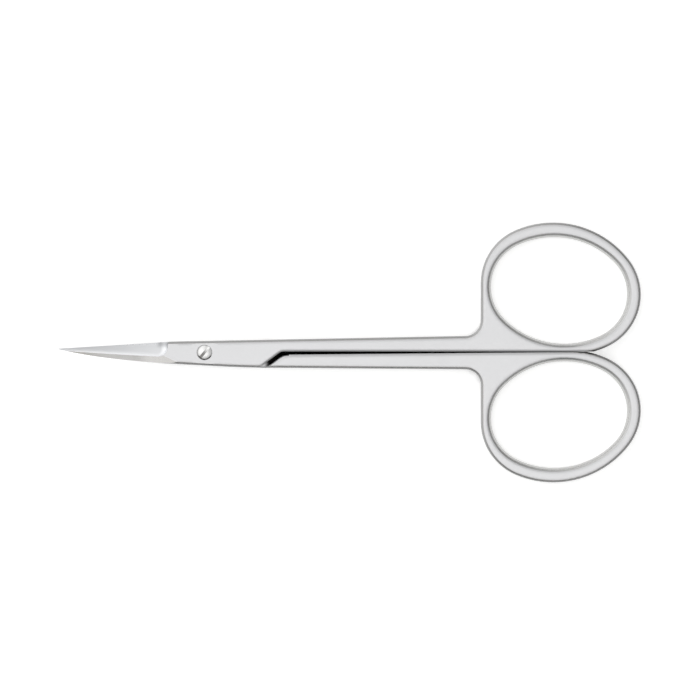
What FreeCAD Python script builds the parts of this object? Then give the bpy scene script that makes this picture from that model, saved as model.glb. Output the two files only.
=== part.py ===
"""Cuticle scissors: two forged steel halves and the slotted screw they turn on.

Millimetres. The origin is on the pivot axis, in the plane of the joint's lower face.
+X runs from the pivot to the finger rings, +Y to the side of the upper ring, +Z up.
The scissors are closed, as they lie on a table with the curve of the blades upwards.
"""
import FreeCAD, Part
import math
import os

from FreeCAD import Vector

# Overall lengths, measured from the pivot axis
TIP_REACH = 26.3            # pivot to the tip of the upper blade
RICASSO_REACH = 6.6         # pivot to the end of the hollow grind
RING_CENTRE_X = 63.9        # pivot to the middle of a finger opening
JOINT_THICKNESS = 3.6       # both halves together at the pivot
RING_THICKNESS = 2.6        # each ring, and its arm where they meet
TAPER_START_X = 15.0        # the arms are as thick as the joint up to here
TAPER_END_X = 44.0          # and as thin as the rings from here

# Finger rings, ovals drawn with four arcs
FINGER_HALF_LENGTH = 12.3   # half the long axis of the opening
FINGER_HALF_WIDTH = 9.5     # half the short axis of the opening
FINGER_END_TUCK = 1.3       # the arc at each end has a radius this much under half the width
FINGER_TILT = 9.2           # degrees that the opening's far end leans to the middle
FINGER_WALL = 1.7           # least wall between the opening and the pivot line
RING_BAND = 2.25            # width of the band round the opening
RING_END_TUCK = 1.45        # the arc at each end of the outside is tighter by this
RING_TILT = 14.6            # degrees that the ring's outside leans
RING_SHIFT_X = 0.3          # outside past the opening's middle, lengthwise
RING_SHIFT_Y = 0.3          # outside past the opening's middle, outwards
RING_ROOT_RADIUS = 2.8      # hollow corner between a ring and its arm

# Outline of the shank, from the pivot line
UPPER_JOINT_Y = 2.09        # upper edge at the pivot
UPPER_ROOT_Y = 3.32         # upper edge at the ring
LOWER_SHANK_Y = 2.77        # lower edge beside the slot
LOWER_ROOT_Y = 3.18         # lower edge at the ring
BELLY_START_X = 2.0         # the joint's lower edge is straight from the blade to here
JOINT_BELLY_RADIUS = 215.0  # and a long curve from here to the slot
EDGE_RADIUS = 0.5           # rolled edges of the joint, arms and rings
FINGER_EDGE_WIDTH = 0.72    # the wall of an opening is rounded over this width
FINGER_EDGE_LIP = 0.2       # the rounding would end this far over the faces, so it meets them crisply

# Closing line and the slanted slot beside the joint
UPPER_GAP_NEAR_Y = 0.20     # upper arm's inner edge at the slot
UPPER_GAP_FAR_Y = 0.18      # upper arm's inner edge at the rings
LOWER_GAP_NEAR_Y = 0.40     # lower arm's inner edge at the slot
LOWER_GAP_FAR_Y = -0.06     # lower arm's inner edge at the rings
SLOT_FOOT_X = 9.8           # flat's slanted end, at the outer edge of the joint
SLOT_HEAD_X = 13.8          # flat's slanted end, at the closing line
SLOT_CORNER_RADIUS = 1.4
SHOULDER_FOOT_X = 10.0      # arm's shoulder starts here, just outside the edge
SHOULDER_FOOT_Y = 3.0
SHOULDER_HEAD_X = 15.2      # and runs into the closing line here
SHOULDER_HEAD_Y = 0.40
SHOULDER_LEAD = Vector(2.6, -0.6, 0)    # direction and strength of its sweep at the foot
SHOULDER_TAIL = Vector(2.2, -0.05, 0)   # and at the head
SHOULDER_RADIUS = 0.35      # rolled rim of the shoulder
RIM_OVERCUT = 0.02          # the rolled rim starts this far outside the steel

# Blades
MATING_GAP = 0.03           # oil gap between the two halves
MATING_FLAT_RADIUS = 9.5    # the halves lie flat on each other up to here
BLADE_CURVE_RADIUS = 66.0   # the blades sweep upwards past the flat
TIP_Y = 0.65                # tip off the pivot line
TIP_WIDTH = 0.12
CUT_HEEL_Y = 1.92           # cutting edge of the upper blade at its heel
SPINE_BELLY_X = -18.7
SPINE_BELLY_Y = -0.82
SPINE_WAIST_X = -11.0
SPINE_WAIST_Y = -1.66
SPINE_HEEL_X = -5.0
SPINE_HEEL_Y = -2.14
LOWER_BLADE_INSET = 0.10    # the lower blade hides this far inside the upper one
LOWER_CUT_HEEL_Y = 1.90
LOWER_SPINE_HEEL_Y = -1.80
SPINE_SLOPE = 0.20          # the outer face falls this much per mm towards the spine
SPINE_TIP_HEIGHT = 0.46     # thickness of a blade at its tip
SPINE_HEEL_HEIGHT = 2.00    # outer face over the mating face at the heel, on the pivot line
EDGE_THICKNESS = 0.12       # steel left at the cutting edge
WHEEL_HEIGHT = 11.0         # grinding wheel's axis over the cutting edge
WHEEL_OFFSET = 3.6          # grinding wheel's axis outside the cutting edge
WHEEL_CORNER = 1.3          # rounded corner of the wheel, the light band along the ridge
RIDGE_HEEL_Y = -0.88        # foot of the wheel's side at the heel of the upper blade
RIDGE_TIP_DROP = 0.60       # and at the tip, this far from the tip's middle
THUMBNAIL_RADIUS = 1.8      # round end of the hollow at the heel

# Pivot screw
HEAD_DIAMETER = 2.6
HEAD_CLEARANCE = 0.09       # dark ring round the head
HEAD_SEAT_DEPTH = 0.7
HEAD_CROWN = 0.32           # dome over the rim
HEAD_RIM_DEPTH = 0.08       # rim under the outer face
SCREW_SLOT_WIDTH = 0.5
SCREW_SLOT_DEPTH = 0.5
SCREW_SLOT_ANGLE = 50.0
JOURNAL_DIAMETER = 2.0
JOURNAL_CLEARANCE = 0.03    # running fit of the upper half on the screw
HEAD_PLAY = 0.03            # axial play under the head
THREAD_DIAMETER = 1.6
THREAD_CLEARANCE = 0.02
TAIL_CHAMFER = 0.2

# Derived heights and tool sizes
MATING_Z = JOINT_THICKNESS / 2.0
OUTSIDE = 20.0              # tools reach this far past the steel
SPARE = 2.0                 # spare length of blanks and cutters
CUT_OVERRUN = 0.2           # share of its length that a straight cutter runs past both ends
CURVE_STATIONS = 7          # points that a ground curve is drawn through
SHARP_ANGLE = 30.0          # faces that meet at more than this, in degrees, have an edge to roll
TOUCH = 0.01                # things nearer than this count as touching
NOSE_X = -TIP_REACH - SPARE
FINGER_CENTRE_Y = FINGER_HALF_WIDTH + FINGER_WALL
FINGER_END_RADIUS = FINGER_HALF_WIDTH - FINGER_END_TUCK
RING_HALF_LENGTH = FINGER_HALF_LENGTH + RING_BAND
RING_HALF_WIDTH = FINGER_HALF_WIDTH + RING_BAND
RING_END_RADIUS = RING_HALF_WIDTH - RING_END_TUCK
RING_X = RING_CENTRE_X + RING_SHIFT_X
RING_Y = FINGER_CENTRE_Y + RING_SHIFT_Y
Z_AXIS = Vector(0, 0, 1)


def blade_rise(x):
    """Height that the mating face has gained at a distance x from the pivot."""
    run = max(0.0, abs(x) - MATING_FLAT_RADIUS)
    return BLADE_CURVE_RADIUS - math.sqrt(BLADE_CURVE_RADIUS ** 2 - run ** 2)


def spline(points, start=None, end=None):
    """A smooth edge through a few points, with end directions where they matter."""
    curve = Part.BSplineCurve()
    if start is None:
        curve.interpolate(points)
    else:
        curve.interpolate(points, InitialTangent=start, FinalTangent=end)
    return curve.toShape()


def line(a, b):
    return Part.LineSegment(a, b).toShape()


def bezier(poles):
    curve = Part.BezierCurve()
    curve.setPoles(poles)
    return curve.toShape()


def prism(edges, bottom, top):
    """A closed outline in the XY plane, raised from one height to another."""
    face = Part.Face(Part.Wire(edges))
    face.translate(Vector(0, 0, bottom))
    return face.extrude(Vector(0, 0, top - bottom))


def polygon(points):
    return Part.makePolygon(points + points[:1]).Edges


class Oval:
    """An oval of four tangent arcs, leaning to the middle by a tilt."""

    def __init__(self, side, centre, half_length, half_width, end_radius, tilt):
        self.centre = centre
        self.lean = math.radians(-side * tilt)
        self.half_width = half_width
        self.end_radius = end_radius
        self.end_shift = half_length - end_radius
        rest = self.end_shift ** 2 + half_width ** 2 - end_radius ** 2
        self.side_radius = rest / (2.0 * (half_width - end_radius))
        self.side_shift = self.side_radius - half_width
        self.joint_angle = math.atan2(self.side_shift, self.end_shift)

    def point(self, angle):
        """Point where the outline faces a given angle from +X."""
        own = angle - self.lean
        x = self.end_radius * math.cos(own)
        y = self.end_radius * math.sin(own)
        if abs(math.sin(own)) <= math.sin(self.joint_angle) + 1e-9:
            x += math.copysign(self.end_shift, math.cos(own))
        else:
            x = self.side_radius * math.cos(own)
            y = self.side_radius * math.sin(own) - math.copysign(self.side_shift, math.sin(own))
        cos, sin = math.cos(self.lean), math.sin(self.lean)
        return self.centre + Vector(x * cos - y * sin, x * sin + y * cos, 0)

    def sectors(self):
        """Facing angle, radius, centre and half spread of each of the four arcs, and where it starts."""
        rows = []
        for quarter in range(4):
            at_end = quarter % 2 == 0
            middle = self.lean + quarter * math.pi / 2.0
            radius = self.end_radius if at_end else self.side_radius
            shift = self.end_shift if at_end else -self.side_shift
            spread = self.joint_angle if at_end else math.pi / 2.0 - self.joint_angle
            axis = self.centre + Vector(math.cos(middle), math.sin(middle), 0) * shift
            start = 0.0 if at_end else max(0.0, self.side_shift - self.half_width / 2.0)
            rows.append((middle, radius, axis, spread, start))
        return rows

    def arcs(self, start, stop):
        """Arcs from one facing angle counter-clockwise to another."""
        joints = []
        for turn in range(-1, 3):
            for base in (self.joint_angle, math.pi - self.joint_angle,
                         math.pi + self.joint_angle, 2 * math.pi - self.joint_angle):
                joints.append(self.lean + base + 2 * math.pi * turn)
        angles = [start] + [a for a in sorted(joints) if start < a < stop] + [stop]
        edges = []
        for first, last in zip(angles, angles[1:]):
            middle = (first + last) / 2.0
            edges.append(Part.Arc(self.point(first), self.point(middle), self.point(last)).toShape())
        return edges


def ring_outside(side):
    centre = Vector(RING_X, side * RING_Y, 0)
    return Oval(side, centre, RING_HALF_LENGTH, RING_HALF_WIDTH, RING_END_RADIUS, RING_TILT)


def finger_opening(side):
    """The opening of a ring, a plug with a waist that rounds the wall for the finger."""
    centre = Vector(RING_CENTRE_X, side * FINGER_CENTRE_Y, 0)
    rim = Oval(side, centre, FINGER_HALF_LENGTH, FINGER_HALF_WIDTH, FINGER_END_RADIUS, FINGER_TILT)
    half_height = RING_THICKNESS / 2.0 + FINGER_EDGE_LIP
    share = RING_THICKNESS / 2.0 / half_height
    bulge = FINGER_EDGE_WIDTH / (1.0 - math.sqrt(1.0 - share ** 2))
    wedges = []
    for middle, radius, axis, spread, start in rim.sectors():
        wide = radius + bulge
        low = Vector(wide, 0, -half_height)
        high = Vector(wide, 0, half_height)
        waist = Part.Ellipse(Vector(wide, 0, half_height), Vector(radius, 0, 0), Vector(wide, 0, 0))
        edges = [
            line(Vector(start, 0, -half_height), low),
            waist.toShape(0, math.pi),
            line(high, Vector(start, 0, half_height)),
            line(Vector(start, 0, half_height), Vector(start, 0, -half_height)),
        ]
        wedge = Part.Face(Part.Wire(Part.sortEdges(edges)[0])).revolve(
            Vector(0, 0, 0), Z_AXIS, math.degrees(2 * spread))
        wedge.rotate(Vector(0, 0, 0), Z_AXIS, math.degrees(middle - spread))
        wedge.translate(axis + Vector(0, 0, MATING_Z))
        wedges.append(wedge)
    return wedges[0].multiFuse(wedges[1:])


def rounded_corner(first, corner, last, radius):
    """Arc that rounds the corner of two straight lines, with the points where it meets them."""
    back = first - corner
    back.normalize()
    ahead = last - corner
    ahead.normalize()
    half = math.acos(back.dot(ahead)) / 2.0
    setback = radius / math.tan(half)
    inward = back + ahead
    inward.normalize()
    middle = corner + inward * (radius / math.sin(half) - radius)
    start = corner + back * setback
    stop = corner + ahead * setback
    return start, Part.Arc(start, middle, stop).toShape(), stop


def upper_edge(x):
    """Upper edge of the joint and of the upper arm, straight from the nose to the ring."""
    return UPPER_JOINT_Y + (UPPER_ROOT_Y - UPPER_JOINT_Y) * x / RING_X


def belly_edges(shank_end, ahead):
    """Lower edge of the joint: straight along the blank's nose, then a long curve to the shank."""
    left = Vector(-ahead.y, ahead.x, 0)
    centre = shank_end + left * JOINT_BELLY_RADIUS

    def on_curve(x):
        return Vector(x, centre.y - math.sqrt(JOINT_BELLY_RADIUS ** 2 - (x - centre.x) ** 2), 0)

    start = on_curve(BELLY_START_X)
    slope = (start.x - centre.x) / (centre.y - start.y)
    nose = Vector(NOSE_X, start.y + slope * (NOSE_X - start.x), 0)
    middle = on_curve((start.x + shank_end.x) / 2.0)
    return nose, [line(nose, start), Part.Arc(start, middle, shank_end).toShape()]


def ring_chain(side, arm_start, root_y):
    """Edges from the inner end of the closing line round the ring to the arm's outer edge."""
    outside = ring_outside(side)
    inner_angle = -side * math.pi / 2.0
    left_angle = math.pi
    if side > 0:
        arcs = outside.arcs(inner_angle, left_angle)
    else:
        arcs = outside.arcs(left_angle, inner_angle + 2 * math.pi)
    left = outside.point(left_angle)
    slope = (side * root_y - arm_start.y) / (RING_X - arm_start.x)
    corner = Vector(left.x, arm_start.y + slope * (left.x - arm_start.x), 0)
    wall_end, root_arc, arm_end = rounded_corner(left, corner, arm_start, RING_ROOT_RADIUS)
    edges = arcs + [line(left, wall_end), root_arc, line(arm_end, arm_start)]
    return outside.point(inner_angle), edges


def step_edge(start, stop):
    """Soft step from the joint's edge to beyond the closing line, ground away later."""
    bend = Vector((stop.x - start.x) / 2.0, 0, 0)
    return bezier([start, start + bend, stop - bend, stop])


def blank_outline(side):
    """Outline of one forged half before its gap and blade are ground, smooth but for the nose."""
    shank_x = SLOT_FOOT_X + SPARE
    step_x = SHOULDER_HEAD_X + SPARE
    nose_top = Vector(NOSE_X, upper_edge(NOSE_X), 0)
    shank_low = Vector(shank_x, -LOWER_SHANK_Y, 0)
    ahead = Vector(RING_X, -LOWER_ROOT_Y, 0) - shank_low
    ahead.normalize()
    nose_low, belly = belly_edges(shank_low, ahead)
    nose = line(nose_top, nose_low)
    if side > 0:
        inner, ring = ring_chain(side, nose_top, UPPER_ROOT_Y)
        joint = belly + [step_edge(shank_low, Vector(step_x, inner.y, 0))]
    else:
        inner, ring = ring_chain(side, shank_low, LOWER_ROOT_Y)
        shank_top = Vector(shank_x, upper_edge(shank_x), 0)
        joint = belly + [line(nose_top, shank_top), step_edge(shank_top, Vector(step_x, inner.y, 0))]
    return joint + ring + [line(Vector(step_x, inner.y, 0), inner), nose]


def side_profile():
    """Side view of a blank: thick at the joint, thinner at the rings, tall enough for the blades."""
    thin = (JOINT_THICKNESS - RING_THICKNESS) / 2.0
    far = RING_X + RING_HALF_LENGTH + SPARE
    back = NOSE_X - SPARE
    edges = []
    for face_z, ring_z in ((JOINT_THICKNESS, JOINT_THICKNESS - thin), (0.0, thin)):
        taper_end = Vector(TAPER_END_X, 0, ring_z)
        edges.append(line(Vector(TAPER_START_X, 0, face_z), taper_end))
        edges.append(line(taper_end, Vector(far, 0, ring_z)))
    edges.append(line(Vector(far, 0, JOINT_THICKNESS - thin), Vector(far, 0, thin)))
    top_flat = Vector(-RICASSO_REACH, 0, JOINT_THICKNESS)
    top_nose = Vector(back, 0, JOINT_THICKNESS + blade_rise(NOSE_X) + MATING_Z)
    level = Vector((back + RICASSO_REACH) / 2.0, 0, 0)
    edges += [
        line(Vector(TAPER_START_X, 0, 0), Vector(back, 0, 0)),
        line(Vector(back, 0, 0), top_nose),
        bezier([top_nose, top_flat + level, top_flat]),
        line(top_flat, Vector(TAPER_START_X, 0, JOINT_THICKNESS)),
    ]
    face = Part.Face(Part.Wire(Part.sortEdges(edges)[0]))
    face.translate(Vector(0, -2 * OUTSIDE, 0))
    return face.extrude(Vector(0, 4 * OUTSIDE, 0))


def sharp_edges(solid):
    """Edges where two faces meet at a clear angle, except those of the blank's square nose."""
    found = []
    for edge in solid.Edges:
        faces = solid.ancestorsOfType(edge, Part.Face)
        if len(faces) != 2 or edge.BoundBox.XMax < NOSE_X + TOUCH:
            continue
        point = edge.valueAt((edge.FirstParameter + edge.LastParameter) / 2.0)
        normals = [face.normalAt(*face.Surface.parameter(point)) for face in faces]
        if normals[0].getAngle(normals[1]) > math.radians(SHARP_ANGLE):
            found.append(edge)
    return found


def forged_blank(side):
    """One half as it leaves the forge: outline, thickness, rolled edges and finger opening."""
    outline = Part.sortEdges(blank_outline(side))[0]
    blank = prism(outline, -OUTSIDE, OUTSIDE).common(side_profile()).Solids[0]
    blank = blank.makeFillet(EDGE_RADIUS, sharp_edges(blank))
    return blank.cut(finger_opening(side))


def gap_tool(side, near_y, far_y):
    """What is ground away beyond the closing line and the slanted end of the flat."""
    far = RING_X + RING_HALF_LENGTH + OUTSIDE
    slope = (far_y - near_y) / (RING_X - SLOT_HEAD_X)
    head = Vector(SLOT_HEAD_X, side * near_y, 0)
    foot = Vector(SLOT_FOOT_X, -side * LOWER_SHANK_Y, 0)
    start = head + (foot - head) * (OUTSIDE / (foot - head).Length)
    end = Vector(far, side * (near_y + slope * (far - SLOT_HEAD_X)), 0)
    first, corner_arc, last = rounded_corner(start, head, end, SLOT_CORNER_RADIUS)
    below = Vector(far, start.y, 0)
    edges = [line(start, first), corner_arc, line(last, end), line(end, below), line(below, start)]
    return prism(edges, -OUTSIDE, OUTSIDE)


def shoulder_poles(side):
    """Control points of the sweep that an arm's shoulder follows, from the edge to the closing line."""
    foot = Vector(SHOULDER_FOOT_X, SHOULDER_FOOT_Y, 0)
    head = Vector(SHOULDER_HEAD_X, SHOULDER_HEAD_Y, 0)
    poles = [foot, foot + SHOULDER_LEAD, head - SHOULDER_TAIL, head]
    return [Vector(p.x, side * p.y, 0) for p in poles]


def lap_outline(side):
    """Everything on the blade's side of an arm's shoulder, where only half the thickness stays."""
    poles = shoulder_poles(side)
    foot, head = poles[0], poles[-1]
    low = Vector(head.x, head.y - side * OUTSIDE, 0)
    back = Vector(NOSE_X - OUTSIDE, low.y, 0)
    top = Vector(back.x, foot.y, 0)
    return [bezier(poles), line(head, low), line(low, back), line(back, top), line(top, foot)]


def rim_tool(side):
    """Sweeps along the shoulder and rolls its rim, where the full thickness of the arm starts."""
    poles = shoulder_poles(side)
    ahead = poles[1] - poles[0]
    ahead.normalize()
    inward = Vector(-side * ahead.y, side * ahead.x, 0)
    face_z = 0.0 if side > 0 else JOINT_THICKNESS
    up = -side

    def place(depth, height):
        return poles[0] + inward * depth + Vector(0, 0, face_z + up * height)

    reach = SHOULDER_RADIUS - RIM_OVERCUT
    bulge = SHOULDER_RADIUS * math.sqrt(0.5)
    wall = place(-RIM_OVERCUT, -reach)
    crown = place(reach, RIM_OVERCUT)
    middle = place(reach - bulge, -reach + bulge)
    corners = [crown, place(reach, SHOULDER_RADIUS), place(-SHOULDER_RADIUS, SHOULDER_RADIUS),
               place(-SHOULDER_RADIUS, -reach), wall]
    edges = [Part.Arc(wall, middle, crown).toShape()]
    edges += [line(a, b) for a, b in zip(corners, corners[1:])]
    return Part.Wire(bezier(poles)).makePipeShell([Part.Wire(edges)], True, False)


def mating_tool(side):
    """The half space beyond the mating face, turned about the pivot so the halves slide on it."""
    gap = side * MATING_GAP / 2.0
    reach = SPARE - NOSE_X
    flat = Vector(MATING_FLAT_RADIUS, 0, MATING_Z + gap)
    end = Vector(reach, 0, MATING_Z + gap + blade_rise(reach))
    half = MATING_FLAT_RADIUS + (reach - MATING_FLAT_RADIUS) / 2.0
    middle = Vector(half, 0, MATING_Z + gap + blade_rise(half))
    beyond = -side * OUTSIDE
    edges = [
        line(Vector(0, 0, flat.z), flat),
        Part.Arc(flat, middle, end).toShape(),
        line(end, Vector(reach, 0, beyond)),
        line(Vector(reach, 0, beyond), Vector(0, 0, beyond)),
        line(Vector(0, 0, beyond), Vector(0, 0, flat.z)),
    ]
    turned = Part.Face(Part.Wire(edges)).revolve(Vector(0, 0, 0), Z_AXIS, 360)
    return turned.common(prism(lap_outline(side), -2 * OUTSIDE, 2 * OUTSIDE))


def spine_tool(side):
    """Cuts the outer face of a blade so that it falls away towards the spine and the tip."""
    start_x = NOSE_X - SPARE
    tip_height = SPINE_TIP_HEIGHT - SPINE_SLOPE * side * TIP_Y
    growth = (SPINE_HEEL_HEIGHT - tip_height) / (TIP_REACH - RICASSO_REACH)
    points = []
    for index in range(CURVE_STATIONS):
        x = start_x * (1.0 - index / (CURVE_STATIONS - 1))
        height = tip_height + growth * (x + TIP_REACH)
        points.append(Vector(x, 0, MATING_Z + blade_rise(x) + side * height))
    beyond = side * OUTSIDE
    edges = [
        spline(points),
        line(points[-1], Vector(points[-1].x, 0, beyond)),
        line(Vector(points[-1].x, 0, beyond), Vector(start_x, 0, beyond)),
        line(Vector(start_x, 0, beyond), points[0]),
    ]
    face = Part.Face(Part.Wire(edges))
    face.translate(Vector(0, -OUTSIDE / 2.0, -SPINE_SLOPE * OUTSIDE / 2.0))
    return face.extrude(Vector(0, OUTSIDE, SPINE_SLOPE * OUTSIDE))


def wheel_body(side, tip, heel):
    """Grinding wheel whose rim follows the curve of the blade and leaves a thin cutting edge."""
    lean = math.atan2(heel.y - tip.y, heel.x - tip.x)
    axis_z = MATING_Z + side * (EDGE_THICKNESS + WHEEL_HEIGHT)
    start_x = NOSE_X - SPARE
    rim = []
    for index in range(CURVE_STATIONS):
        x = start_x * (1.0 - index / (CURVE_STATIONS - 1))
        rise = blade_rise(heel.x + (x - heel.x) * math.cos(lean))
        rim.append(Vector(x, math.hypot(WHEEL_HEIGHT - side * rise, WHEEL_OFFSET), 0))
    middle = Vector(0, 0, 0)
    end = Vector(start_x, 0, 0)
    edges = [spline(rim, rim[1] - rim[0], Vector(1, 0, 0))]
    edges += [line(rim[-1], middle), line(middle, end), line(end, rim[0])]
    wheel = Part.Face(Part.Wire(edges)).revolve(middle, Vector(1, 0, 0), 360)
    wheel.rotate(Vector(heel.x, 0, 0), Z_AXIS, math.degrees(lean))
    outward = Vector(-math.sin(lean), math.cos(lean), 0) * side
    wheel.translate(Vector(0, heel.y, axis_z) + outward * WHEEL_OFFSET)
    return wheel


def hollow_tool(side, tip, heel):
    """The wheel's path on a blade: its rim cuts the hollow, its rounded corner the band at the ridge."""
    start_x = NOSE_X + TOUCH
    beyond = side * OUTSIDE / 2.0
    ridge_tip = Vector(-TIP_REACH, TIP_Y - side * RIDGE_TIP_DROP, 0)
    ridge_heel = Vector(-RICASSO_REACH, side * RIDGE_HEEL_Y, 0)
    slope = (ridge_heel.y - ridge_tip.y) / (ridge_heel.x - ridge_tip.x)
    start = Vector(start_x, ridge_tip.y + slope * (start_x - ridge_tip.x), 0)
    heel_end = Vector(ridge_heel.x, beyond, 0)
    nose_end = Vector(start_x, beyond, 0)
    first, thumbnail, last = rounded_corner(start, ridge_heel, heel_end, THUMBNAIL_RADIUS)
    edges = [line(start, first), thumbnail, line(last, heel_end)]
    edges += [line(heel_end, nose_end), line(nose_end, start)]
    path = prism(edges, MATING_Z - WHEEL_HEIGHT, MATING_Z + WHEEL_HEIGHT)
    tool = path.common(wheel_body(side, tip, heel)).Solids[0]
    rims = [face for face in tool.Faces if face.Surface.TypeId == "Part::GeomSurfaceOfRevolution"]
    corner = []
    for edge in rims[0].Edges:
        ends = [vertex.Point for vertex in edge.Vertexes]
        at_nose = all(abs(p.x - start_x) < TOUCH for p in ends)
        at_side = all(abs(p.y - beyond) < TOUCH for p in ends)
        if not at_nose and not at_side:
            corner.append(edge)
    return tool.makeFillet(WHEEL_CORNER, corner)


def outline_tools(side, tip, cut_heel, spine_points):
    """Two cutters that leave the blade between its cutting edge and its spine."""
    beyond = OUTSIDE / 2.0
    overrun = (cut_heel - tip) * CUT_OVERRUN
    cut_start = tip - overrun
    cut_end = cut_heel + overrun
    cut_side = [cut_start, cut_end]
    cut_side += [Vector(cut_end.x, side * beyond, 0), Vector(cut_start.x, side * beyond, 0)]
    first = spine_points[0]
    last = spine_points[-1]
    nose = Vector(NOSE_X - SPARE, first.y, 0)
    tail = Vector(last.x + SPARE, -side * beyond, 0)
    spine_side = [
        spline(spine_points),
        line(last, tail),
        line(tail, Vector(nose.x, -side * beyond, 0)),
        line(Vector(nose.x, -side * beyond, 0), Vector(nose.x, side * beyond, 0)),
        line(Vector(nose.x, side * beyond, 0), Vector(first.x, side * beyond, 0)),
        line(Vector(first.x, side * beyond, 0), first),
    ]
    return [prism(polygon(cut_side), -OUTSIDE, OUTSIDE), prism(spine_side, -OUTSIDE, OUTSIDE)]


def grind_blade(half, side, tip, cut_heel, spine_points):
    for tool in outline_tools(side, tip, cut_heel, spine_points):
        half = half.cut(tool)
    half = half.cut(spine_tool(side))
    return half.cut(hollow_tool(side, tip, cut_heel))


def cylinder(diameter, bottom, top):
    return Part.makeCylinder(diameter / 2.0, top - bottom, Vector(0, 0, bottom))


def top_blade_half():
    half = forged_blank(1)
    half = half.cut(gap_tool(1, UPPER_GAP_NEAR_Y, UPPER_GAP_FAR_Y))
    half = half.cut(mating_tool(1)).cut(rim_tool(1))
    tip = Vector(-TIP_REACH, TIP_Y + TIP_WIDTH / 2.0, 0)
    heel = Vector(-RICASSO_REACH, CUT_HEEL_Y, 0)
    spine = [
        Vector(-TIP_REACH, TIP_Y - TIP_WIDTH / 2.0, 0),
        Vector(SPINE_BELLY_X, SPINE_BELLY_Y, 0),
        Vector(SPINE_WAIST_X, SPINE_WAIST_Y, 0),
        Vector(SPINE_HEEL_X, SPINE_HEEL_Y, 0),
    ]
    half = grind_blade(half, 1, tip, heel, spine)
    half = half.cut(cylinder(JOURNAL_DIAMETER + 2 * JOURNAL_CLEARANCE, -SPARE, JOINT_THICKNESS + SPARE))
    seat_z = JOINT_THICKNESS - HEAD_SEAT_DEPTH
    return half.cut(cylinder(HEAD_DIAMETER + 2 * HEAD_CLEARANCE, seat_z, JOINT_THICKNESS + SPARE))


def bottom_blade_half():
    half = forged_blank(-1)
    half = half.cut(gap_tool(-1, LOWER_GAP_NEAR_Y, LOWER_GAP_FAR_Y))
    half = half.cut(mating_tool(-1)).cut(rim_tool(-1))
    reach = TIP_REACH - LOWER_BLADE_INSET
    tip = Vector(-reach, TIP_Y - TIP_WIDTH / 2.0, 0)
    heel = Vector(-RICASSO_REACH, -LOWER_CUT_HEEL_Y, 0)
    middle = (-reach + SPINE_HEEL_X) / 2.0
    tip_spine = TIP_Y + TIP_WIDTH / 2.0
    spine = [
        Vector(-reach, tip_spine, 0),
        Vector(middle, (tip_spine - LOWER_SPINE_HEEL_Y) / 2.0, 0),
        Vector(SPINE_HEEL_X, -LOWER_SPINE_HEEL_Y, 0),
    ]
    half = grind_blade(half, -1, tip, heel, spine)
    return half.cut(cylinder(THREAD_DIAMETER + 2 * THREAD_CLEARANCE, -SPARE, JOINT_THICKNESS))


def pivot_screw():
    """Domed, slotted head in its seat, a plain journal, and a tail screwed into the lower half."""
    seat_z = JOINT_THICKNESS - HEAD_SEAT_DEPTH + HEAD_PLAY
    rim_z = JOINT_THICKNESS - HEAD_RIM_DEPTH
    foot_z = MATING_Z - MATING_GAP / 2.0
    head_r = HEAD_DIAMETER / 2.0
    journal_r = JOURNAL_DIAMETER / 2.0
    thread_r = THREAD_DIAMETER / 2.0
    dome = (head_r ** 2 + HEAD_CROWN ** 2) / (2 * HEAD_CROWN)
    half_r = head_r / 2.0
    half_z = rim_z + HEAD_CROWN - dome + math.sqrt(dome ** 2 - half_r ** 2)
    rim = Vector(head_r, 0, rim_z)
    crown = Vector(0, 0, rim_z + HEAD_CROWN)
    points = [
        crown,
        Vector(0, 0, 0),
        Vector(thread_r - TAIL_CHAMFER, 0, 0),
        Vector(thread_r, 0, TAIL_CHAMFER),
        Vector(thread_r, 0, foot_z),
        Vector(journal_r, 0, foot_z),
        Vector(journal_r, 0, seat_z),
        Vector(head_r, 0, seat_z),
        rim,
    ]
    edges = [line(a, b) for a, b in zip(points, points[1:])]
    edges.append(Part.Arc(rim, Vector(half_r, 0, half_z), crown).toShape())
    screw = Part.Face(Part.Wire(edges)).revolve(Vector(0, 0, 0), Z_AXIS, 360)
    slot_floor = crown.z - SCREW_SLOT_DEPTH
    corner = Vector(-HEAD_DIAMETER, -SCREW_SLOT_WIDTH / 2.0, slot_floor)
    slot = Part.makeBox(2 * HEAD_DIAMETER, SCREW_SLOT_WIDTH, SCREW_SLOT_DEPTH + SPARE, corner)
    slot.rotate(Vector(0, 0, 0), Z_AXIS, SCREW_SLOT_ANGLE)
    return screw.cut(slot)


def export(name, shape):
    solids = shape.Solids
    box = shape.BoundBox
    print(name, "solids", len(solids), "valid", shape.isValid(), "volume %.2f" % shape.Volume)
    print("  x %.2f %.2f  y %.2f %.2f  z %.2f %.2f" %
          (box.XMin, box.XMax, box.YMin, box.YMax, box.ZMin, box.ZMax))
    solids[0].exportStep("parts/" + name + ".step")


os.makedirs("parts", exist_ok=True)
export("top_blade_half", top_blade_half())
export("bottom_blade_half", bottom_blade_half())
export("pivot_screw", pivot_screw())
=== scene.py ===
# %% [markdown]
# # Cuticle scissors in satin and polished steel
# The imported model holds the shapes: two forged halves and the screw that they turn on. This lesson gives
# them their finish, a table, soft light and a camera straight above. The model is loaded first and
# its box is kept, and the table is set at its lowest point.

# %% Load the imported model
import math

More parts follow.
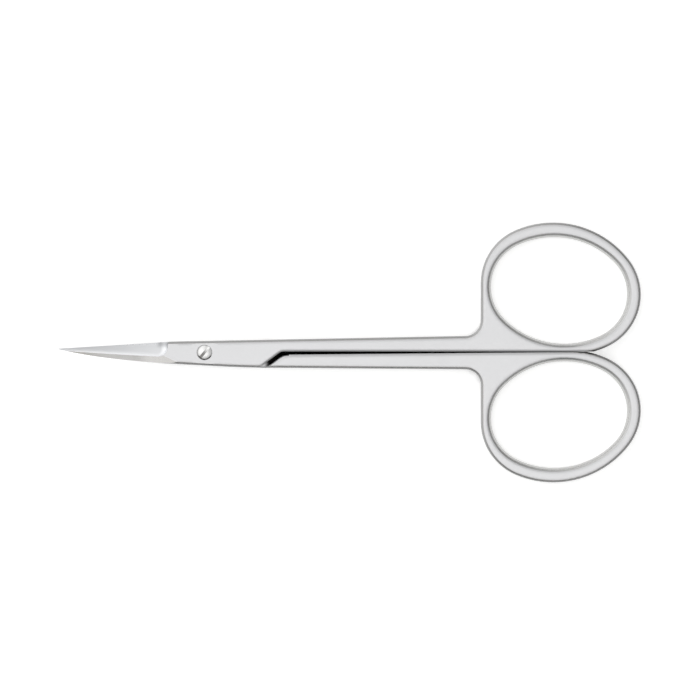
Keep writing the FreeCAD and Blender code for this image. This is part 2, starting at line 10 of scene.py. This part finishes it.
import bmesh
import bpy
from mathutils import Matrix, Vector


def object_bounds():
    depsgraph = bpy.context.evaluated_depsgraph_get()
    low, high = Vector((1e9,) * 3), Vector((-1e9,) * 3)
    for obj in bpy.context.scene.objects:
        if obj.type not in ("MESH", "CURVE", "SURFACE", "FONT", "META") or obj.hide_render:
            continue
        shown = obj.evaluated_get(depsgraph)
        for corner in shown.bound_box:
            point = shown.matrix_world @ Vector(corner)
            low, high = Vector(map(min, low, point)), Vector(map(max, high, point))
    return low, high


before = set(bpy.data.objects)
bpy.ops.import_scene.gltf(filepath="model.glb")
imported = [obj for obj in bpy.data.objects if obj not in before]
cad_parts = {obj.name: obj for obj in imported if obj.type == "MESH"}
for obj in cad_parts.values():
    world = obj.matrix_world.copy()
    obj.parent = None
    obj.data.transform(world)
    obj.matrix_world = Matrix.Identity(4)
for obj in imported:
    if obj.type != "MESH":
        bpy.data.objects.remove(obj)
cad_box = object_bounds()
scene = bpy.context.scene
scene.view_settings.view_transform = "Standard"
MM = 0.001
print("nodes:", sorted(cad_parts))
print("box in mm:", [[round(v / MM, 2) for v in corner] for corner in cad_box])

# %% [markdown]
# ## Helpers for colours, scales and nodes
# Colours are picked as sRGB hex values, as a painter reads them off a swatch, but shaders calculate in
# linear light, so one function converts them. A pattern's scale comes from a real size in millimetres.
# Materials are node trees, which could be wired by hand in the shader editor. Here a function adds one
# node, sets it and links it, so that each material below reads as a list of steps.

# %% Colour, scale and node helpers
def linear(hex_colour):
    """sRGB hex such as 'D9D9D7' to a linear RGBA tuple."""
    channels = [int(hex_colour[i:i + 2], 16) / 255.0 for i in (0, 2, 4)]
    steps = [c / 12.92 if c <= 0.04045 else ((c + 0.055) / 1.055) ** 2.4 for c in channels]
    return (*steps, 1.0)


def per_metre(size_mm):
    """Texture scale of a pattern that repeats once in that many millimetres."""
    return 1.0 / (size_mm * MM)


def add_node(tree, kind, settings=None, inputs=None):
    """Adds a node, sets its properties, and gives each input a value, or a link from a socket.

    A node given as an input stands for its first output in use.
    """
    node = tree.nodes.new(kind)
    for name, value in (settings or {}).items():
        setattr(node, name, value)
    for name, value in (inputs or {}).items():
        if isinstance(value, bpy.types.Node):
            value = next(socket for socket in value.outputs if socket.enabled)
        if isinstance(value, bpy.types.NodeSocket):
            tree.links.new(value, node.inputs[name])
        else:
            node.inputs[name].default_value = value
    return node


def new_material(name):
    """A node material with an empty tree."""
    material = bpy.data.materials.new(name)
    material.use_nodes = True
    material.node_tree.nodes.clear()
    return material


print("a mid grey, hex 808080, is linear", round(linear("808080")[0], 3))
print("a grain of 0.5 mm has the scale", per_metre(0.5))

# %% [markdown]
# ## Zones
# One piece of steel can carry several finishes, and each lies in a zone. A zone could be painted on the
# mesh, but here it is worked out from where a point is and which way it looks, so it needs no map and stays
# sharp at any distance. Each measure fades in between two ends, and a zone is where all its fades are in.

# %% Zones made of fades
MULTIPLY = {"operation": "MULTIPLY"}
MULTIPLY_ADD = {"operation": "MULTIPLY_ADD"}
SUBTRACT = {"operation": "SUBTRACT"}
LARGER = {"operation": "MAXIMUM"}
SIZE_ONLY = {"operation": "ABSOLUTE"}
DOT_PRODUCT = {"operation": "DOT_PRODUCT"}
SMOOTH = {"interpolation_type": "SMOOTHSTEP"}
COLOUR = {"data_type": "RGBA"}
QUARTER = 0.25


def zone(tree, *fades):
    """1 where every fade is in, 0 where one is out. A fade is a measure and its ends, from out to in."""
    share = None
    for measure, (end_out, end_in) in fades:
        step = add_node(tree, "ShaderNodeMapRange", SMOOTH,
                        {"Value": measure, "From Min": end_out, "From Max": end_in})
        share = step if share is None else add_node(tree, "ShaderNodeMath", MULTIPLY, {0: share, 1: step})
    return share


print("a smooth fade that is a quarter in gives", round(QUARTER ** 2 * (3.0 - 2.0 * QUARTER), 3))

# %% [markdown]
# ## The camera
# The scissors are seen from straight above, with the tips to the left. Such a plan view shows no
# perspective. An orthographic camera would give that too, but a long lens far away is what a studio
# uses, and it keeps a trace of depth in the rings.

# %% Camera
PICTURE_WIDTH = 126.0 * MM          # width of the table that the picture takes in
PICTURE_CENTRE = Vector((26.19, 0.45, 3.4)) * MM
CAMERA_HEIGHT = 0.72                # metres over the scissors
SENSOR = 36.0                       # mm, width of a full-frame sensor
NEAREST = 0.01                      # metres, the camera sees nothing closer
FARTHEST = 20.0                     # metres, the camera sees nothing beyond

camera_data = bpy.data.cameras.new("top_camera")
camera_data.sensor_width = SENSOR
camera_data.lens = SENSOR * CAMERA_HEIGHT / PICTURE_WIDTH
camera_data.clip_start = NEAREST
camera_data.clip_end = FARTHEST
camera = bpy.data.objects.new("top_camera", camera_data)
camera.location = PICTURE_CENTRE + Vector((0, 0, CAMERA_HEIGHT))
scene.collection.objects.link(camera)
scene.camera = camera
print("lens in mm:", round(camera_data.lens, 1))

# %% [markdown]
# ## White laminate for the table
# The scissors lie on a table top of matt white laminate, which takes their shadow. To be white in the
# picture without more light on the steel, it also glows a little, but only for the rays that see it directly
# or as a reflection. A table that glows would shine up through the narrow gap between the arms, which
# is black on real scissors. So where steel close by hides most of the sky, which the Ambient Occlusion node
# measures, its glow fades out and its white is painted near black, as painted shadow. Past the point where
# the rings part, the table stays white.

# %% White laminate
TABLE_GLOW = 0.48                   # added to what the laminate scatters
SPECKLE = 25.0                      # mm, slow changes in the white
GAP_DEPTH = 4.0 * MM                # steel within this distance can hide the sky
GAP_OPEN = (0.26, 0.40)             # share of the sky that is open, from a black gap to a white table
GAP_END = (66.5 * MM, 70.0 * MM)    # along the scissors, where the rings part behind the gap


def white_laminate():
    """Pressed matt laminate, which gives the eye an even white without a highlight."""
    material = new_material("white_matt_laminate")
    tree = material.node_tree
    place = add_node(tree, "ShaderNodeTexCoord").outputs["Object"]
    along = add_node(tree, "ShaderNodeSeparateXYZ", None, {"Vector": place}).outputs["X"]
    speckle = add_node(tree, "ShaderNodeTexNoise", None, {"Vector": place, "Scale": per_metre(SPECKLE)})
    white = add_node(tree, "ShaderNodeMix", COLOUR,
                     {"Factor": speckle, "A": linear("F1F1F0"), "B": linear("F5F5F4")})
    sky = add_node(tree, "ShaderNodeAmbientOcclusion", None, {"Distance": GAP_DEPTH}).outputs["AO"]
    lit = add_node(tree, "ShaderNodeMath", LARGER,
                   {0: zone(tree, (sky, GAP_OPEN)), 1: zone(tree, (along, GAP_END))})
    # Painted shadow: the laminate's colour turns near black in the gap.
    shaded = add_node(tree, "ShaderNodeMix", COLOUR, {"Factor": lit, "A": linear("151515"), "B": white})
    matt = add_node(tree, "ShaderNodeBsdfDiffuse", None, {"Color": shaded})

    path = add_node(tree, "ShaderNodeLightPath")
    seen = path.outputs["Is Camera Ray"]
    for ray in ("Is Glossy Ray", "Is Transmission Ray"):
        seen = add_node(tree, "ShaderNodeMath", LARGER, {0: seen, 1: path.outputs[ray]})
    strength = add_node(tree, "ShaderNodeMath", MULTIPLY, {0: lit, 1: TABLE_GLOW})
    strength = add_node(tree, "ShaderNodeMath", MULTIPLY, {0: seen, 1: strength})
    glow = add_node(tree, "ShaderNodeEmission", None, {"Strength": strength})
    both = add_node(tree, "ShaderNodeAddShader", None, {0: matt, 1: glow})
    add_node(tree, "ShaderNodeOutputMaterial", None, {"Surface": both})
    return material


laminate = white_laminate()
print(laminate.name, "has", len(laminate.node_tree.nodes), "nodes")

# %% [markdown]
# ## The table top
# Only the upper face of the table is ever seen, so one flat disc is enough. It lies at the lowest point
# of the scissors.

# %% Table top
TABLE_RADIUS = 3.0                  # metres, past the edge of any view
TABLE_SEGMENTS = 96

mesh = bpy.data.meshes.new("table")
shape = bmesh.new()
bmesh.ops.create_circle(shape, cap_ends=True, segments=TABLE_SEGMENTS, radius=TABLE_RADIUS)
shape.to_mesh(mesh)
shape.free()
table = bpy.data.objects.new("table", mesh)
table.location.z = cad_box[0].z
mesh.materials.append(laminate)
scene.collection.objects.link(table)
print("table faces:", len(mesh.polygons))

# %% [markdown]
# ## The room
# Bright steel shows mostly what it mirrors, so the light is a room for it to mirror. A photograph of a
# studio could stand in for the room, but a few sums on the direction are easier to steer. The walls
# are pale behind and to the left, which keeps the hollow of the blade light. They are darker in front and
# to the right, and the rounded edges draw that as a soft grey line. The ceiling is a little brighter.

# %% Room
ROOM_LEVEL = 0.35                   # brightness of the walls half way round, white paper is 1
ROOM_BACK = 0.60                    # added towards the back wall, taken away towards the front
ROOM_LEFT = 0.95                    # added towards the left wall, taken away towards the right
ROOM_DARKEST = 0.42
ROOM_BRIGHTEST = 1.40
CEILING_GLOW = 0.30                 # added overhead
CEILING_RIM = 0.72                  # upright share of a direction where the ceiling starts


def soft_room():
    """A world of soft light with pale walls behind and to the left, and darker ones opposite."""
    world = bpy.data.worlds.new("soft_room")
    world.use_nodes = True
    tree = world.node_tree
    tree.nodes.clear()
    where = add_node(tree, "ShaderNodeTexCoord")
    split = add_node(tree, "ShaderNodeSeparateXYZ", None, {"Vector": where.outputs["Generated"]})
    walls = ROOM_LEVEL
    for axis, change in (("Y", ROOM_BACK), ("X", -ROOM_LEFT)):
        walls = add_node(tree, "ShaderNodeMath", MULTIPLY_ADD,
                         {0: split.outputs[axis], 1: change, 2: walls})
    walls = add_node(tree, "ShaderNodeClamp", None,
                     {"Value": walls, "Min": ROOM_DARKEST, "Max": ROOM_BRIGHTEST})
    ceiling = add_node(tree, "ShaderNodeMapRange", SMOOTH,
                       {"Value": split.outputs["Z"], "From Min": CEILING_RIM, "To Max": CEILING_GLOW})
    level = add_node(tree, "ShaderNodeMath", {"operation": "ADD"}, {0: walls, 1: ceiling})
    air = add_node(tree, "ShaderNodeBackground", None, {"Color": linear("FFFFFF"), "Strength": level})
    add_node(tree, "ShaderNodeOutputWorld", None, {"Surface": air})
    return world


scene.world = soft_room()
print("walls from", ROOM_DARKEST, "to", ROOM_BRIGHTEST)

# %% [markdown]
# ## The soft box
# A wide soft box hangs overhead, a little to the front, as over a product table. The flat faces look
# straight up at it, and it gives them an even silver. Its power follows from its area, so that it can be
# made wider without making the steel brighter.

# %% Soft box
BOX_PLACE = Vector((0.03, -0.2, 1.1))   # metres
BOX_WIDTH = 0.9
BOX_DEPTH = 0.8
BOX_BRIGHTNESS = 0.83               # white paper is 1
BOX_AIM = Vector((26.0, 0.0, 2.0)) * MM

box_data = bpy.data.lights.new("overhead_box", "AREA")
box_data.shape = "RECTANGLE"
box_data.size = BOX_WIDTH
box_data.size_y = BOX_DEPTH
box_data.energy = BOX_BRIGHTNESS * math.pi * BOX_WIDTH * BOX_DEPTH
box = bpy.data.objects.new("overhead_box", box_data)
box.location = BOX_PLACE
box.rotation_mode = "QUATERNION"
box.rotation_quaternion = (BOX_AIM - BOX_PLACE).to_track_quat("-Z", "Y")
scene.collection.objects.link(box)
print("soft box in watts:", round(box_data.energy, 2))

# %% [markdown]
# ## Dark slot and seam
# Where the lower arm leaves the joint, the halves are parted by a slanted slot, and from there a narrow
# seam runs between the arms and the rings. Both lie in deep shade, and on real scissors they look black.
# Shadow alone could make them dark, but polished walls mirror too much light into such narrow gaps, so
# the shade is painted into the steel's colour. The slot's floor and wall are found by their place, and its
# open end is painted lighter. The seam is painted dark only while the halves are closed, so Ambient
# Occlusion looks for steel close by it.

# %% Painted shade in the slot and the seam
SLOT_MIDDLE = Vector((11.8, -1.3, 1.9)) * MM
SLOT_ACROSS = Vector((-0.60, 0.80, 0.0))    # level direction across the slot, to the joint
SLOT_RUN = Vector((0.80, 0.60, 0.0))    # level direction along the slot, to the seam
SLOT_DARK_ALONG = (-1.5 * MM, -0.5 * MM)    # along the slot, from its lighter open end to its painted-dark middle
SLOT_DARK_WIDTH = (2.0 * MM, 1.1 * MM)  # distance from the slot's middle, from unshaded to painted shade
SLOT_DARK_HEIGHT = (0.5 * MM, 0.25 * MM)    # height over or under the slot's floor, from unshaded to painted shade
SLOT_DARK_FACING = (0.3, 0.5)           # how far a face looks up or into the slot, from unshaded to painted shade
SEAM_REACH = 0.8 * MM               # steel within this distance makes a seam
SEAM_OPEN = (0.99, 0.84)            # share of the sky that is open, from unshaded to painted dark
SEAM_WIDTH = (1.2 * MM, 0.7 * MM)   # distance from the middle line, from unshaded to painted dark
SEAM_START = (9.0 * MM, 13.0 * MM)  # along the scissors, from the joint to the seam
SEAM_HEIGHT = (2.0 * MM, 2.4 * MM)  # over the table, from the hidden sides to the upper edges
SEAM_RAYS = 32                      # rays that look for steel, more give less grain


def slot_painted_shade(tree, place, facing):
    """1 on the floor and the wall of the slanted slot, where shade is painted."""
    from_slot = add_node(tree, "ShaderNodeVectorMath", SUBTRACT, {0: place, 1: SLOT_MIDDLE})
    across = add_node(tree, "ShaderNodeVectorMath", DOT_PRODUCT, {0: from_slot, 1: SLOT_ACROSS})
    aside = add_node(tree, "ShaderNodeMath", SIZE_ONLY, {0: across})
    along = add_node(tree, "ShaderNodeVectorMath", DOT_PRODUCT, {0: from_slot, 1: SLOT_RUN})
    offset = add_node(tree, "ShaderNodeSeparateXYZ", None, {"Vector": from_slot})
    height = add_node(tree, "ShaderNodeMath", SIZE_ONLY, {0: offset.outputs["Z"]})
    inwards = add_node(tree, "ShaderNodeVectorMath", DOT_PRODUCT, {0: facing, 1: SLOT_ACROSS})
    lean = add_node(tree, "ShaderNodeSeparateXYZ", None, {"Vector": facing})
    inside = add_node(tree, "ShaderNodeMath", LARGER, {0: inwards, 1: lean.outputs["Z"]})
    return zone(tree, (along, SLOT_DARK_ALONG), (aside, SLOT_DARK_WIDTH), (height, SLOT_DARK_HEIGHT),
                (inside, SLOT_DARK_FACING))


def seam_painted_shade(tree, spot, side):
    """1 on the upper edges of the seam between the closed halves, where shade is painted."""
    sky = add_node(tree, "ShaderNodeAmbientOcclusion", {"samples": SEAM_RAYS}, {"Distance": SEAM_REACH})
    aside = add_node(tree, "ShaderNodeMath", SIZE_ONLY, {0: spot.outputs["Y"]})
    seam = zone(tree, (aside, SEAM_WIDTH), (spot.outputs["Z"], SEAM_HEIGHT),
                (spot.outputs["X"], SEAM_START), (sky.outputs["AO"], SEAM_OPEN))
    return add_node(tree, "ShaderNodeMath", MULTIPLY, {0: side, 1: seam})


print("a seam is up to", round(SEAM_REACH / MM, 2), "mm wide")

# %% [markdown]
# ## Finger openings and soft edges
# The rims of the finger openings are painted a lighter grey than the outer sides, as painted sheen. A rim
# looks to the middle of its opening and an outer side looks away from it, which is how the two are told
# apart. At the end the halves are tumbled in a barrel, which softens the edges a little past the rounding of
# the model. More rounding in the mesh would do it too, but the Bevel node bends the light over an edge in
# the same way. The blade and the seat of the screw stay crisp.

# %% Openings and edges
OPENING_MIDDLE = Vector((63.9, 11.2)) * MM  # along and across, of either finger opening
OPENING_LEAN = (0.0, 2.0 * MM)      # reach to that middle, from looking away to looking at it
OPENING_START = (50.5 * MM, 51.5 * MM)  # along the scissors, from the arm to the opening
OPENING_WALL = (0.9 * MM, 1.5 * MM)     # distance from the middle line, from the seam to the opening
TUMBLED_RADIUS = 1.0 * MM           # how far the barrel softened the edges
TUMBLED_FROM_PIVOT = (2.0 * MM, 3.0 * MM)   # distance from the screw's axis, from crisp to soft
TUMBLED_FROM_BLADE = (-5.5 * MM, -4.5 * MM)     # along the scissors, from the blade to the joint
TUMBLED_RAYS = 8                    # rays that look for an edge, more give less grain
LEVEL = (1.0, 1.0, 0.0)             # keeps the level part of a place


def faces_opening(tree, spot, lean):
    """1 on the rim of a finger opening. The sign of Y tells which of the two rings it is."""
    half = add_node(tree, "ShaderNodeMath", {"operation": "SIGN"}, {0: spot.outputs["Y"]})
    off_line = add_node(tree, "ShaderNodeMath", SIZE_ONLY, {0: spot.outputs["Y"]})
    ahead = add_node(tree, "ShaderNodeMath", SUBTRACT, {0: OPENING_MIDDLE.x, 1: spot.outputs["X"]})
    aside = add_node(tree, "ShaderNodeMath", SUBTRACT, {0: OPENING_MIDDLE.y, 1: off_line})
    aside = add_node(tree, "ShaderNodeMath", MULTIPLY, {0: aside, 1: half})
    reach = add_node(tree, "ShaderNodeMath", MULTIPLY, {0: lean.outputs["X"], 1: ahead})
    reach = add_node(tree, "ShaderNodeMath", MULTIPLY_ADD, {0: lean.outputs["Y"], 1: aside, 2: reach})
    return zone(tree, (reach, OPENING_LEAN), (spot.outputs["X"], OPENING_START), (off_line, OPENING_WALL))


def tumbled_edges(tree, place, spot):
    """The surface's direction, softened near the edges of the joint, the arms and the rings."""
    level = add_node(tree, "ShaderNodeVectorMath", MULTIPLY, {0: place, 1: LEVEL})
    from_pivot = add_node(tree, "ShaderNodeVectorMath", {"operation": "LENGTH"}, {0: level})
    share = zone(tree, (from_pivot, TUMBLED_FROM_PIVOT), (spot.outputs["X"], TUMBLED_FROM_BLADE))
    radius = add_node(tree, "ShaderNodeMath", MULTIPLY, {0: share, 1: TUMBLED_RADIUS})
    return add_node(tree, "ShaderNodeBevel", {"samples": TUMBLED_RAYS}, {"Radius": radius})


print("edges are softened over", round(TUMBLED_RADIUS / MM, 2), "mm")

# %% [markdown]
# ## Stainless steel and its finishes
# The halves are forged from hardened stainless steel, and each finish is what a step in the workshop left
# on it. The flat faces were blasted with fine glass beads, which gives a soft silver without streaks. The
# sides were ground on a belt, and their darker grey is partly that finish and partly painted shade, which
# draws the dark lines along the edges. The spine's face was ground as well, and is painted darker towards
# the tip as shade. The hollow of the blade was polished and is the brightest. Its border at the heel is
# painted grey towards the cutting edge, as painted shade. Each finish could be a material on its own faces,
# but one material lets them run into each other, as on one piece of steel. The surface's own direction, in
# the piece's coordinates, tells them apart and stays when the halves turn.

# %% Shades of the steel
SPINE_FRONT = (-9.5 * MM, -12.5 * MM)   # along the spine's face, from its heel to its front, which is painted darker as shade
BORDER_ALONG = (-9.0 * MM, -7.8 * MM)   # along the hollow, from its floor to its border at the heel
BORDER_ACROSS = (0.5 * MM, 1.6 * MM)    # across the border, from its polished part to the painted-grey part at the cutting edge
STAIN_SIZE = 9.0                    # mm, slow changes in the shade of the steel
STAIN_DETAIL = 3.0                  # finer layers of noise on top
STEEL_SHADES = {                    # each finish where the steel is darker and where it is lighter
    "flat": ("CDCDCE", "D3D3D4"),
    "spine_heel": ("B1AFAC", "BBB9B6"),
    # the spine's front is painted darker, as shade
    "spine_front": ("8C8A86", "969490"),
    # the sides' grey is partly the ground finish, partly painted shade for the dark edge lines
    "side": ("999999", "A5A5A5"),
    # the openings' lighter grey is painted sheen on their rims
    "opening": ("B9B9B8", "C3C3C2"),
    "hollow": ("E5E6E8", "EDEEF0"),
}
BORDER_PAINTED_SHADE = "B9BABC"
PAINTED_SHADE_COLOUR = "12110F"


def steel_colour(tree, place, facing, spot, lean, satin, side, hollow):
    """Lays the shades of the finishes over each other, from the spine's face to the painted shade in the
    slot and the seam.
    """
    stain = add_node(tree, "ShaderNodeTexNoise", None,
                     {"Vector": place, "Scale": per_metre(STAIN_SIZE), "Detail": STAIN_DETAIL})
    shades = {}
    for finish, (darker, lighter) in STEEL_SHADES.items():
        shades[finish] = add_node(tree, "ShaderNodeMix", COLOUR,
                                  {"Factor": stain, "A": linear(darker), "B": linear(lighter)})
    front = zone(tree, (spot.outputs["X"], SPINE_FRONT))
    spine_shade = add_node(tree, "ShaderNodeMix", COLOUR,
                           {"Factor": front, "A": shades["spine_heel"], "B": shades["spine_front"]})
    # Painted sheen: the rims of the finger openings get a lighter grey.
    side_shade = add_node(tree, "ShaderNodeMix", COLOUR,
                          {"Factor": faces_opening(tree, spot, lean),
                           "A": shades["side"], "B": shades["opening"]})
    # Painted shade: the hollow's border at the heel turns grey towards the cutting edge.
    border = zone(tree, (spot.outputs["X"], BORDER_ALONG), (spot.outputs["Y"], BORDER_ACROSS))
    hollow_shade = add_node(tree, "ShaderNodeMix", COLOUR,
                            {"Factor": border, "A": shades["hollow"], "B": linear(BORDER_PAINTED_SHADE)})
    # Painted shade: the slot and the seam are painted near black.
    painted_shade = add_node(tree, "ShaderNodeMath", LARGER,
                     {0: slot_painted_shade(tree, place, facing), 1: seam_painted_shade(tree, spot, side)})
    shade = spine_shade
    for share, layer in ((side, side_shade), (hollow, hollow_shade), (satin, shades["flat"]),
                         (painted_shade, linear(PAINTED_SHADE_COLOUR))):
        shade = add_node(tree, "ShaderNodeMix", COLOUR, {"Factor": share, "A": shade, "B": layer})
    return shade


print("shades of steel:", ", ".join(STEEL_SHADES))

# %% [markdown]
# ## Roughness and relief
# Blasted steel is covered in fine pits, and polished steel has faint lines where the wheel went across it.
# Ground sides lie between the two. Pits and lines could be modelled as relief alone, but they are far
# finer than a pixel, and then they only blur what the steel mirrors. So roughness does most of the
# work, and a very low relief adds the rest.

# %% Gloss and relief
BEAD_GRAIN = 0.30                   # mm, blasted pits; really 0.05 to 0.1, drawn coarser to show
BEAD_DETAIL = 2.0                   # finer layers of noise on top
BEAD_ROUGHNESS = 0.6                # strength of each finer layer
POLISH_LINE = 0.22                  # mm, spacing of the polishing lines, drawn coarser to show
POLISH_DETAIL = 1.0                 # finer layers of noise on top
POLISH_STRETCH = (1.0, 0.06, 0.06)  # draws the lines out across the scissors
SATIN_GLOSS = (0.34, 0.46)          # roughness of blasted steel, in and between the pits
BRIGHT_GLOSS = (0.12, 0.20)         # roughness of polished steel, in and between the lines
SIDE_GROUND = 0.4                   # share of the satin's roughness on the ground sides


def gloss_and_relief(tree, place, satin, side, hollow):
    """The roughness of the steel, and the height of its pits and lines."""
    pits = add_node(tree, "ShaderNodeTexNoise", None,
                    {"Vector": place, "Scale": per_metre(BEAD_GRAIN), "Detail": BEAD_DETAIL,
                     "Roughness": BEAD_ROUGHNESS})
    drawn_out = add_node(tree, "ShaderNodeMapping", None, {"Vector": place, "Scale": POLISH_STRETCH})
    lines = add_node(tree, "ShaderNodeTexNoise", None,
                     {"Vector": drawn_out, "Scale": per_metre(POLISH_LINE), "Detail": POLISH_DETAIL})
    satin_gloss = add_node(tree, "ShaderNodeMapRange", None,
                           {"Value": pits, "To Min": SATIN_GLOSS[0], "To Max": SATIN_GLOSS[1]})
    bright_gloss = add_node(tree, "ShaderNodeMapRange", None,
                            {"Value": lines, "To Min": BRIGHT_GLOSS[0], "To Max": BRIGHT_GLOSS[1]})
    ground = add_node(tree, "ShaderNodeMath", LARGER, {0: hollow, 1: SIDE_GROUND})
    ground = add_node(tree, "ShaderNodeMath", MULTIPLY, {0: side, 1: ground})
    ground = add_node(tree, "ShaderNodeMath", LARGER, {0: satin, 1: ground})
    gloss = add_node(tree, "ShaderNodeMix", None, {"Factor": ground, "A": bright_gloss, "B": satin_gloss})
    relief = add_node(tree, "ShaderNodeMix", None, {"Factor": satin, "A": lines, "B": pits})
    return gloss, relief


print("roughness from", BRIGHT_GLOSS[0], "to", SATIN_GLOSS[1])

# %% [markdown]
# ## The finished steel
# The three main zones come from how far the surface leans: flat faces, sides, and the hollow that leans
# to the cutting edge. They decide on the shade, the roughness and the relief above, and one Principled
# shader takes all three. It is fully metallic and keeps the usual index of refraction, as bare steel does.

# %% Finished steel
SATIN_LEAN = (0.970, 0.995)         # upright share of a surface's direction, from leaning to flat
SIDE_LEAN = (0.985, 0.90)           # upright share, from a gently leaning face to a ground side
BLADE_START = (-6.3 * MM, -6.9 * MM)    # along the scissors, from the joint to the blade
HOLLOW_TILT = (0.0, 0.04)           # lean to the cutting edge, from the spine's face to the hollow
RELIEF_STRENGTH = 0.08              # share of the depth that shows
RELIEF_DEPTH = 0.02 * MM


def steel_of_the_halves():
    """Blasted and polished stainless steel, which gives the eye a soft silver with bright hollows."""
    material = new_material("satin_and_polished_stainless_steel")
    tree = material.node_tree
    where = add_node(tree, "ShaderNodeTexCoord")
    place = where.outputs["Object"]
    facing = where.outputs["Normal"]
    spot = add_node(tree, "ShaderNodeSeparateXYZ", None, {"Vector": place})
    lean = add_node(tree, "ShaderNodeSeparateXYZ", None, {"Vector": facing})
    upright = add_node(tree, "ShaderNodeMath", SIZE_ONLY, {0: lean.outputs["Z"]})
    to_edge = add_node(tree, "ShaderNodeMath", MULTIPLY, {0: lean.outputs["Y"], 1: lean.outputs["Z"]})
    satin = zone(tree, (upright, SATIN_LEAN))
    side = zone(tree, (upright, SIDE_LEAN))
    hollow = zone(tree, (spot.outputs["X"], BLADE_START), (to_edge, HOLLOW_TILT))

    gloss, relief = gloss_and_relief(tree, place, satin, side, hollow)
    bump = add_node(tree, "ShaderNodeBump", None,
                    {"Height": relief, "Strength": RELIEF_STRENGTH, "Distance": RELIEF_DEPTH,
                     "Normal": tumbled_edges(tree, place, spot)})
    colour = steel_colour(tree, place, facing, spot, lean, satin, side, hollow)
    steel = add_node(tree, "ShaderNodeBsdfPrincipled", None,
                     {"Base Color": colour, "Metallic": 1.0, "Roughness": gloss, "Normal": bump})
    add_node(tree, "ShaderNodeOutputMaterial", None, {"Surface": steel})
    return material


half_steel = steel_of_the_halves()
print(half_steel.name, "has", len(half_steel.node_tree.nodes), "nodes")

# %% [markdown]
# ## The halves get their steel
# Both halves come from one bar and one workshop, so they share the material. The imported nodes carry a
# plain material, which is taken off first.

# %% Dress the halves
def dress(node_name, material):
    """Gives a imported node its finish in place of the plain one."""
    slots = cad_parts[node_name].data.materials
    slots.clear()
    slots.append(material)
    print(node_name, "wears", material.name)


for half in ("top_blade_half", "bottom_blade_half"):
    dress(half, half_steel)

# %% [markdown]
# ## The screw
# The pivot screw was turned on a lathe and its dome polished on a wheel. The tool leaves faint rings
# round the axis, which is the frame's own Z axis, so a ring pattern about the origin follows them. The
# floor of the slot is painted as shade at one end and as light at the other. A painted shadow darkens
# the gap round the head on its lower side.

# %% Steel of the pivot screw
TURNING_RING = 0.316                # mm, rings of the lathe tool; really about 0.1, drawn coarser to show
WAVE_UNIT = 20.0 / (2.0 * math.pi)  # rings that the wave texture draws in one unit of its scale
TURNING_WANDER = 0.4                # how far the rings stray, in radians of the wave
TURNING_STRENGTH = 0.05             # share of the depth that shows
TURNING_DEPTH = 0.01 * MM
DOME_GLOSS = (0.40, 0.48)           # roughness of the dome, in and between the rings
SLOT_FLOOR_TO_DOME = (3.40 * MM, 3.72 * MM)     # height, from the floor of the slot with its painted shade to the dome
SLOT_ALONG = Vector((0.643, 0.766, 0.0))    # level direction of the slot
SLOT_DARK_TO_LIGHT = (-0.4 * MM, 1.1 * MM)   # along the slot, from the end with painted shade to the end with painted light
RIM_SHADOW_REACH = (1.08 * MM, 1.22 * MM)  # distance from the axis, from the dome to the painted shadow in the gap round the head
RIM_SIDE = (-0.35 * MM, -0.80 * MM)     # across, from the lit side of that gap to the side with painted shadow


def turned_steel():
    """Turned and polished steel, which gives the eye a bright dome with faint rings."""
    material = new_material("turned_and_polished_screw_steel")
    tree = material.node_tree
    place = add_node(tree, "ShaderNodeTexCoord").outputs["Object"]
    rings = add_node(tree, "ShaderNodeTexWave",
                     {"wave_type": "RINGS", "rings_direction": "Z", "wave_profile": "SIN"},
                     {"Vector": place, "Scale": per_metre(TURNING_RING) / WAVE_UNIT,
                      "Distortion": TURNING_WANDER}).outputs["Fac"]
    spot = add_node(tree, "ShaderNodeSeparateXYZ", None, {"Vector": place})
    along = add_node(tree, "ShaderNodeVectorMath", DOT_PRODUCT, {0: place, 1: SLOT_ALONG})
    # Painted shade and light: the slot's floor is dark at one end and light at the other.
    slot_shade = add_node(tree, "ShaderNodeMix", COLOUR,
                          {"Factor": zone(tree, (along, SLOT_DARK_TO_LIGHT)),
                           "A": linear("8A8886"), "B": linear("F2F2F1")})
    shade = add_node(tree, "ShaderNodeMix", COLOUR,
                     {"Factor": zone(tree, (spot.outputs["Z"], SLOT_FLOOR_TO_DOME)),
                      "A": slot_shade, "B": linear("FAFAF9")})
    level = add_node(tree, "ShaderNodeVectorMath", MULTIPLY, {0: place, 1: LEVEL})
    from_axis = add_node(tree, "ShaderNodeVectorMath", {"operation": "LENGTH"}, {0: level})
    # Painted shadow in the gap round the head, on its lower side.
    rim = zone(tree, (from_axis, RIM_SHADOW_REACH), (spot.outputs["Y"], RIM_SIDE))
    shade = add_node(tree, "ShaderNodeMix", COLOUR, {"Factor": rim, "A": shade, "B": linear("2A2826")})
    gloss = add_node(tree, "ShaderNodeMapRange", None,
                     {"Value": rings, "To Min": DOME_GLOSS[0], "To Max": DOME_GLOSS[1]})
    bump = add_node(tree, "ShaderNodeBump", None,
                    {"Height": rings, "Strength": TURNING_STRENGTH, "Distance": TURNING_DEPTH})
    steel = add_node(tree, "ShaderNodeBsdfPrincipled", None,
                     {"Base Color": shade, "Metallic": 1.0, "Roughness": gloss, "Normal": bump})
    add_node(tree, "ShaderNodeOutputMaterial", None, {"Surface": steel})
    return material


dress("pivot_screw", turned_steel())
